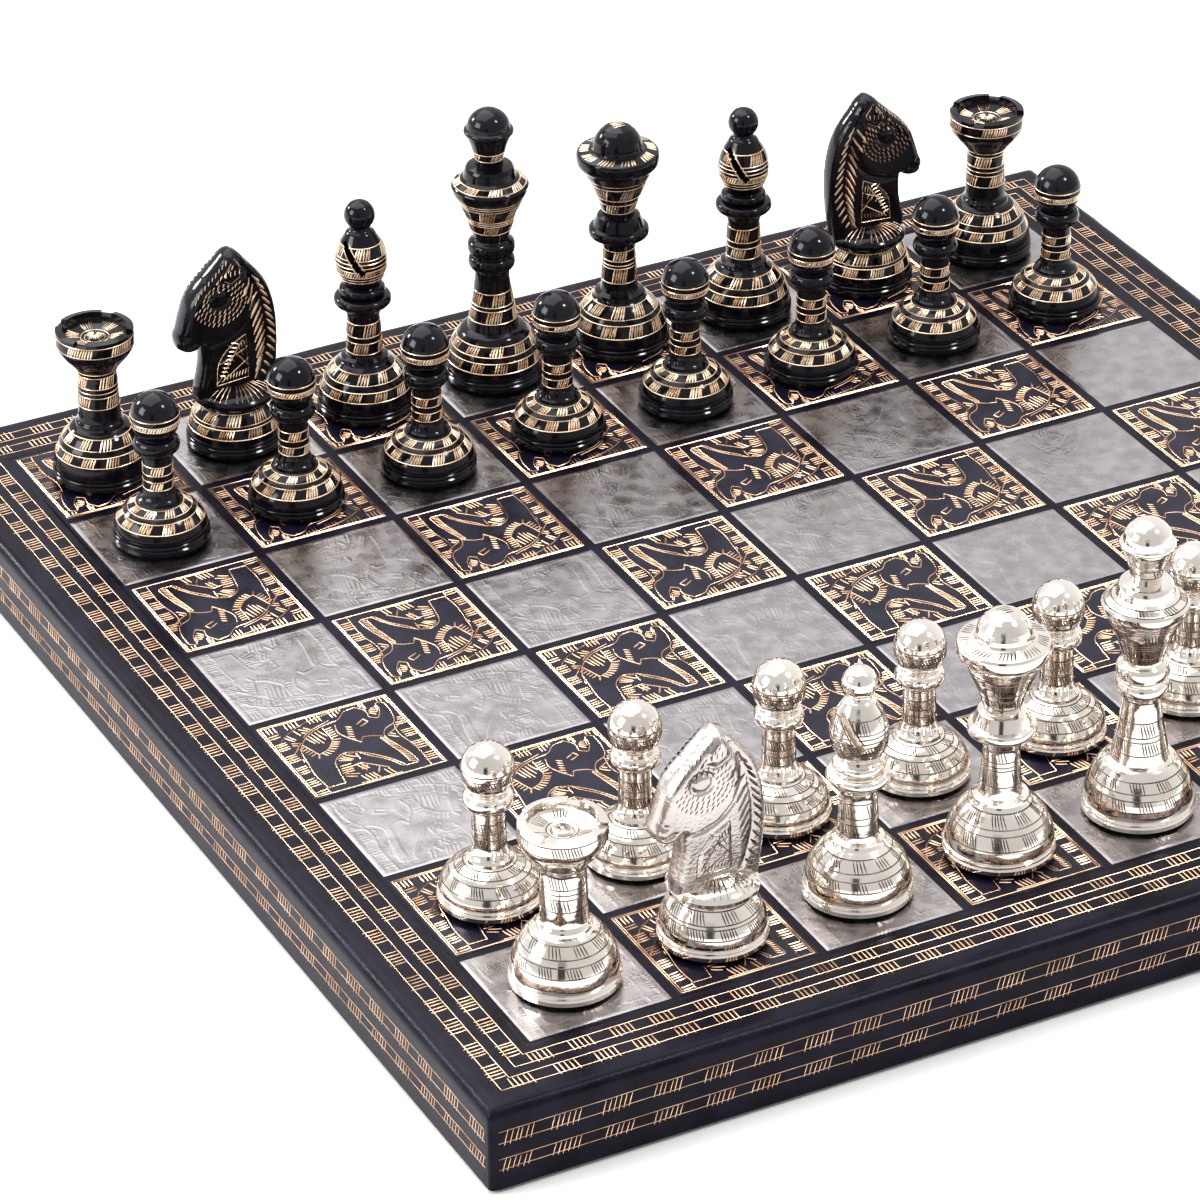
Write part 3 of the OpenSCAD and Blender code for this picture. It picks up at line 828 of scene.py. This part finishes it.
def cover():
    """The lacquered sheet: sides, rounded top edge, border, and the dark floor between the plates."""
    top_z = TOP / MM
    stations = [(HALF - 0.6, SHEET_LOW + 0.05, 0), (HALF, SHEET_LOW + 0.05, 0)]
    stations += [(HALF, z, 0) for z in np.linspace(SHEET_LOW + 0.6, top_z - EDGE_R - 0.8, 8)]
    for a in np.linspace(0, pi / 2, 9):
        dents = 0.09 * sin(2 * a) + 0.02
        stations.append((HALF - EDGE_R + EDGE_R * cos(a), top_z - EDGE_R + EDGE_R * sin(a) - dents, dents))
    field = 4 * SQUARE
    stations += [(o, top_z, 0) for o in (HALF - EDGE_R - 0.8, HALF - 6, HALF - 11, field + 0.6, field + 0.1)]
    stations += [(field - 0.1, top_z - 0.16, 0), (field - 8, top_z - 0.16, 0)]
    skin = square_lathe(stations)
    n = 49
    u = np.linspace(-(field - 0.2), field - 0.2, n)
    x, y = np.meshgrid(u, u, indexing="ij")
    floor = np.stack([x, y, np.full_like(x, top_z - 0.15)], axis=2).reshape(-1, 3)
    mesh = mesh_from("cover", [skin, (floor, sheet_faces(n, n)[:, ::-1])], SHEET, sharp=50)
    piece("cover_lacquer", mesh, "board", ("cover_sheet",))
    cuts = mesh_from("border_cuts", border_cuts(np.random.default_rng(5)), COPPER)
    piece("border_engraving", cuts, "board")


def base_cloth():
    """The felt glued under the board, with a soft cut edge."""
    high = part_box("base_felt")[1]
    half, t = high[0] / MM, high[2] / MM
    stations = [(1, 0, 0), (half * 0.5, 0, 0), (half - 0.7, 0, 0), (half - 0.2, t * 0.4, 0.2)]
    stations += [(half - 0.2, t * 0.8, 0.2), (half - 0.7, t, 0), (1, t, 0)]
    cloth = mesh_from("base_cloth", [square_lathe(stations, 1.5)], FELT_AND_PAINTED_SHADE)
    piece("base_cloth", cloth, "board", ("base_felt",))
    NODES["wood_core"].data.materials.clear()
    NODES["wood_core"].data.materials.append(WOOD)


# An elephant in a frame, drawn in a unit square: it walks to the right with its trunk raised
FIGURE = [
    (0.14, 0.09), (0.13, 0.27), (0.15, 0.44), (0.17, 0.58),
    (0.24, 0.70), (0.34, 0.78), (0.46, 0.82), (0.56, 0.84),
    (0.63, 0.91), (0.72, 0.93), (0.77, 0.86), (0.76, 0.77),
    (0.81, 0.73), (0.86, 0.81), (0.87, 0.92), (0.93, 0.90),
    (0.92, 0.74), (0.88, 0.63), (0.79, 0.58), (0.75, 0.50),
    (0.78, 0.36), (0.81, 0.22), (0.82, 0.10), (0.70, 0.10),
    (0.65, 0.21), (0.55, 0.33), (0.49, 0.41), (0.40, 0.43), (0.33, 0.38), (0.29, 0.24), (0.27, 0.09),
]
EAR = [(0.51, 0.78), (0.49, 0.68), (0.53, 0.58), (0.58, 0.50), (0.61, 0.56), (0.68, 0.54), (0.74, 0.50)]
CLOTH = [(0.21, 0.66), (0.26, 0.49), (0.33, 0.52), (0.42, 0.62), (0.42, 0.79)]
LEG_LINE = [(0.50, 0.41), (0.58, 0.33), (0.67, 0.21), (0.72, 0.11)]
STROKE, CELL_PITCH = 0.09, 0.0275
# Rows of strokes: the path they stand on, the side they stand to (1 = left of the path), how far they lean
ROWS = [
    ([(0.03, 0.965), (0.97, 0.965)], -1, 0.0),
    ([(0.035, 0.03), (0.035, 0.97)], -1, 0.1),
    ([(0.965, 0.03), (0.965, 0.97)], 1, 0.0),
    ([(0.02, 0.60), (0.12, 0.78), (0.32, 0.90), (0.60, 0.955)], -1, -0.2),
    ([(0.02, 0.60), (0.12, 0.78), (0.32, 0.90), (0.60, 0.955)], 1, 0.2),
    ([(0.02, 0.46), (0.12, 0.58), (0.19, 0.66), (0.30, 0.78), (0.50, 0.86)], 1, -0.3),
    ([(0.02, 0.46), (0.10, 0.56), (0.17, 0.63)], -1, 0.2),
    ([(0.13, 0.03), (0.125, 0.28), (0.14, 0.5)], 1, 0.2),
    ([(0.875, 0.03), (0.88, 0.3), (0.85, 0.5), (0.87, 0.62)], -1, 0.3),
    ([(0.875, 0.03), (0.88, 0.3), (0.85, 0.5), (0.87, 0.62)], 1, -0.2),
    ([(0.76, 0.50), (0.86, 0.56), (0.97, 0.66)], -1, 0.3),
    ([(0.79, 0.72), (0.84, 0.80), (0.86, 0.92)], 1, 0.3),
    ([(0.77, 0.97), (0.78, 0.86), (0.76, 0.74)], 1, 0.0),
    ([(0.27, 0.09), (0.30, 0.24), (0.34, 0.37), (0.41, 0.42),
    (0.50, 0.40), (0.56, 0.32), (0.66, 0.20), (0.70, 0.10)], -1, 0.2),
    ([(0.36, 0.035), (0.66, 0.035)], 1, -0.3),
    ([(0.29, 0.16), (0.40, 0.26), (0.47, 0.27), (0.56, 0.18), (0.62, 0.12)], -1, 0.3),
]


def figure_strokes():
    """The motif in the unit square: wide strokes and thin lines by start and end, and the figure's outline."""
    figure = smooth_path(np.array(FIGURE) * 100, 1.5, closed=True, corner=50) / 100
    lines, thin, taken = [], [], [np.zeros((0, 2))]

    def trail(path, closed=False):
        pts = np.asarray(path, float)
        if closed:
            pts = np.concatenate([pts, pts[:1]])
        thin.extend(zip(pts[:-1], pts[1:]))

    def clear(spots):
        low, high = spots.min(axis=1) > 0.028, spots.max(axis=1) < 0.972
        return low & high & (edge_distance(figure, spots[:, 0], spots[:, 1]) < -0.014)

    for number, (path, side, lean) in enumerate(ROWS):
        run = smooth_path(np.array(path) * 100, 0.5) / 100
        free = clear(run)
        middles = run[free]
        thin.extend((a, b) for a, b, ok in zip(run[:-4:4], run[4::4], free[::4]) if ok)
        heading = np.gradient(run, axis=0)
        heading /= np.linalg.norm(heading, axis=1, keepdims=True)
        away = np.stack([-heading[:, 1], heading[:, 0]], axis=1) * side
        length = np.linalg.norm(np.diff(run, axis=0), axis=1).sum()
        others = np.concatenate(taken)
        mine = [middles]
        for k in range(int(length / CELL_PITCH)):
            if (k + 2 * number) % 6 > 3:
                continue
            at = min(int((k + 0.5) * CELL_PITCH / length * len(run)), len(run) - 1)
            direction = away[at] + lean * heading[at]
            spots = run[at] + direction * np.linspace(0.008, STROKE, 12)[:, None]
            ok = clear(spots)
            if len(others):
                ok &= np.linalg.norm(spots[:, None] - others, axis=2).min(axis=1) > 0.02
            end = len(ok) if ok.all() else int(np.argmin(ok))
            if end > 4:
                lines.append((spots[0], spots[end - 1]))
                mine.append(spots[:end])
        taken.append(np.concatenate(mine))
    trail([(0.02, 0.02), (0.98, 0.02), (0.98, 0.98), (0.02, 0.98)], closed=True)
    trail(figure[::2], closed=True)
    for path in (EAR, CLOTH, LEG_LINE):
        trail(smooth_path(np.array(path) * 100, 2.5) / 100)
    fringe = smooth_path(np.array(CLOTH) * 100, 2.9) / 100
    heading = np.gradient(fringe, axis=0)
    out = np.stack([heading[:, 1], -heading[:, 0]], axis=1)
    out /= np.linalg.norm(out, axis=1, keepdims=True)
    lines.extend(zip(fringe[1:-1], (fringe + out * 0.055 + heading * 0.3)[1:-1]))
    for k in range(5):
        start = np.array([0.265 + 0.028 * k, 0.725 + 0.012 * k])
        lines.append((start, start + np.array([0.03, -0.145 + 0.05 * abs(k - 2) / 2])))
    eye = [((0.64, 0.72), (0.71, 0.765)), ((0.655, 0.685), (0.73, 0.72)), ((0.71, 0.765), (0.73, 0.72))]
    lines += [(np.array(a), np.array(b)) for a, b in eye]
    for k in range(6):
        start = np.array([0.565 - 0.008 * k, 0.73 - 0.03 * k])
        lines.append((start, start + np.array([0.035, -0.025])))
    rungs = smooth_path(
        np.array([(0.755, 0.48), (0.775, 0.36), (0.80, 0.22), (0.805, 0.12)]) * 100, 2.4,
    ) / 100
    lines.extend((p, p + np.array([-0.04, 0.012])) for p in rungs)
    trail(rungs + np.array([-0.04, 0.012]))
    return np.array(lines), np.array(thin), figure


MOTIF, THIN, FIGURE_EDGE = figure_strokes()


def relief_plate(steps, emboss, mirrored=False):
    """A plate with worn edges and a raised figure; the mirrored kind also has raised lines and stipple."""
    u = np.linspace(0, 1, steps)
    x, y = np.meshgrid(u, u, indexing="ij")
    mx = 1 - x if mirrored else x
    inside = edge_distance(FIGURE_EDGE, mx, y)
    height = 0.5 * emboss * step_up(inside, 0.02)
    if mirrored:
        near = np.full(x.shape, 9.0)
        for start, end in np.concatenate([MOTIF, THIN]):
            low, high = np.minimum(start, end) - 0.03, np.maximum(start, end) + 0.03
            box = (mx > low[0]) & (mx < high[0]) & (y > low[1]) & (y < high[1])
            if box.any():
                near[box] = np.minimum(near[box], path_distance(np.array([start, end]), mx[box], y[box]))
        height += emboss * np.exp(-((near / 0.0075) ** 2))
        grain = np.array([wobble(a * 55, b * 55, 1.7) for a, b in zip(x.ravel(), y.ravel())]).reshape(x.shape)
        height += 0.35 * emboss * grain * (inside < 0)
    edge = np.minimum(np.minimum(x, 1 - x), np.minimum(y, 1 - y)) * PLATE
    height = height * np.clip(edge / 0.8, 0, 1) - 0.05 * (1 - step_up(edge, 0.5))
    verts = np.stack([(x - 0.5) * PLATE, (y - 0.5) * PLATE, height], axis=2).reshape(-1, 3)
    ring = [i * steps for i in range(steps)] + [(steps - 1) * steps + j for j in range(1, steps)]
    ring += [i * steps + steps - 1 for i in range(steps - 2, -1, -1)] + list(range(steps - 2, 0, -1))
    ring = np.array(ring)
    under = verts[ring] * [1, 1, 0] + [0, 0, -0.5]
    at = len(verts) + np.arange(len(ring))
    wall = np.stack([ring, at, np.roll(at, -1), np.roll(ring, -1)], axis=1)
    return np.concatenate([verts, under]), np.concatenate([sheet_faces(steps, steps), wall])


def motif_cuts():
    """The motif's gold strokes on one plate, in millimetres about its middle."""
    parts = []
    for lines, width in ((MOTIF, 0.5), (THIN, 0.36)):
        spots = dash(lines[:, 0], lines[:, 1])
        lift = 0.05 * step_up(edge_distance(FIGURE_EDGE, spots[..., 0], spots[..., 1]), 0.03) + 0.02
        spots = np.concatenate([(spots - 0.5) * PLATE, lift[..., None]], axis=2)
        parts.append(ridges(spots, (0, 0, 1), width, 0.1))
    return parts


def plates():
    """The 64 inlaid plates: rows near the silver army stand upright to it, the others to the black army."""
    z = TOP / MM - 0.03
    light, dark = relief_plate(130, 0.045, mirrored=True), relief_plate(40, 0.1)
    cuts = motif_cuts()
    light_plates, dark_plates, gold = [], [], []
    for col in range(8):
        for row in range(8):
            place = ((col - 3.5) * SQUARE, (row - 3.5) * SQUARE, z)
            turn = 0.0 if row < 4 else pi
            if (col + row) % 2 == 0:
                light_plates += moved([light], *place, turn)
            else:
                dark_plates += moved([dark], *place, turn)
                gold += moved(cuts, *place, turn)
    for k in range(8):
        mesh = mesh_from("light_plates", light_plates[4 * k : 4 * k + 4], SATIN, sharp=60)
        piece(f"light_squares_{k + 1}", mesh, "board", ("light_squares",) if k == 0 else ())
    mesh = mesh_from("dark_plates", dark_plates, PLATE_BLACK, sharp=60)
    piece("dark_squares_lacquer", mesh, "board", ("dark_squares",))
    piece("dark_squares_engraving", mesh_from("dark_cuts", gold, COPPER), "board")


# ---- Stage ----


def stage():
    """A pale floor and soft studio light."""
    floor = bpy.data.meshes.new("floor")
    floor.from_pydata([(-6, -6, 0), (6, -6, 0), (6, 6, 0), (-6, 6, 0)], [], [(0, 1, 2, 3)])
    floor.materials.append(material("paper", (0.93, 0.93, 0.93), (0.96, 0.96, 0.96), 0, (0.9, 1), 2, 0.02))
    ground = bpy.data.objects.new("floor", floor)
    bpy.context.collection.objects.link(ground)
    tent()
    for name, spot, size, power in (
        ("overhead", (-0.2, 0.7, 1.8), 2.2, 30),
        ("left", (-1.6, 0.2, 0.8), 0.8, 15),
        ("right", (0.66, -0.66, 1.3), 0.22, 6),
        ("back", (-1.05, 1.58, 0.8), 0.3, 9),
    ):
        lamp = bpy.data.lights.new(name, "AREA")
        lamp.shape = "SQUARE"
        lamp.size = size
        lamp.energy = power
        light = bpy.data.objects.new(name, lamp)
        bpy.context.collection.objects.link(light)
        light.location = spot
        light.rotation_euler = (Vector((0, 0, 0.02)) - Vector(spot)).to_track_quat("-Z", "Y").to_euler()
    bpy.context.scene.view_settings.view_transform = "Standard"
    bpy.context.scene.view_settings.look = "Medium High Contrast"


def tent():
    """A white light tent with a dark gap in its front, where the camera looks in."""
    world = bpy.data.worlds.new("tent")
    bpy.context.scene.world = world
    world.use_nodes = True
    nodes, links = world.node_tree.nodes, world.node_tree.links
    place = nodes.new("ShaderNodeTexCoord")
    front = Vector((sin(radians(-34)), -cos(radians(-34)), 0))

    def along(direction, low, high, at_low, at_high, absolute=False):
        dot = nodes.new("ShaderNodeVectorMath")
        dot.operation = "DOT_PRODUCT"
        dot.inputs[1].default_value = direction
        links.new(place.outputs["Generated"], dot.inputs[0])
        value = dot.outputs["Value"]
        if absolute:
            size = nodes.new("ShaderNodeMath")
            size.operation = "ABSOLUTE"
            links.new(value, size.inputs[0])
            value = size.outputs["Value"]
        ramp = nodes.new("ShaderNodeMapRange")
        ramp.interpolation_type = "SMOOTHSTEP"
        for key, number in zip(("From Min", "From Max", "To Min", "To Max"), (low, high, at_low, at_high)):
            ramp.inputs[key].default_value = number
        links.new(value, ramp.inputs["Value"])
        return ramp.outputs["Result"]

    def combine(operation, a, b):
        made = nodes.new("ShaderNodeMath")
        made.operation = operation
        links.new(a, made.inputs[0])
        links.new(b, made.inputs[1])
        return made.outputs["Value"]

    gap = along(front.cross(Vector((0, 0, 1))), 0.08, 0.2, 0.12, 1, absolute=True)
    behind = along(front, -0.05, 0.1, 1, 0)
    above = along(Vector((0, 0, 1)), 0.3, 0.6, 0, 1)
    walls = along(front, -0.9, 0.6, 0.92, 0.64)
    lit = combine("MAXIMUM", combine("MAXIMUM", gap, behind), above)
    links.new(combine("MULTIPLY", lit, walls), nodes["Background"].inputs["Strength"])
    nodes["Background"].inputs["Color"].default_value = (1, 1, 1, 1)


place_camera()
stage()
cover()
base_cloth()
plates()
MEN = sorted(n for n in NODES if n.startswith(("silver", "black")) and not n.endswith("_felt"))
for number, name in enumerate(MEN):
    build_man(name, np.random.default_rng(100 + number))
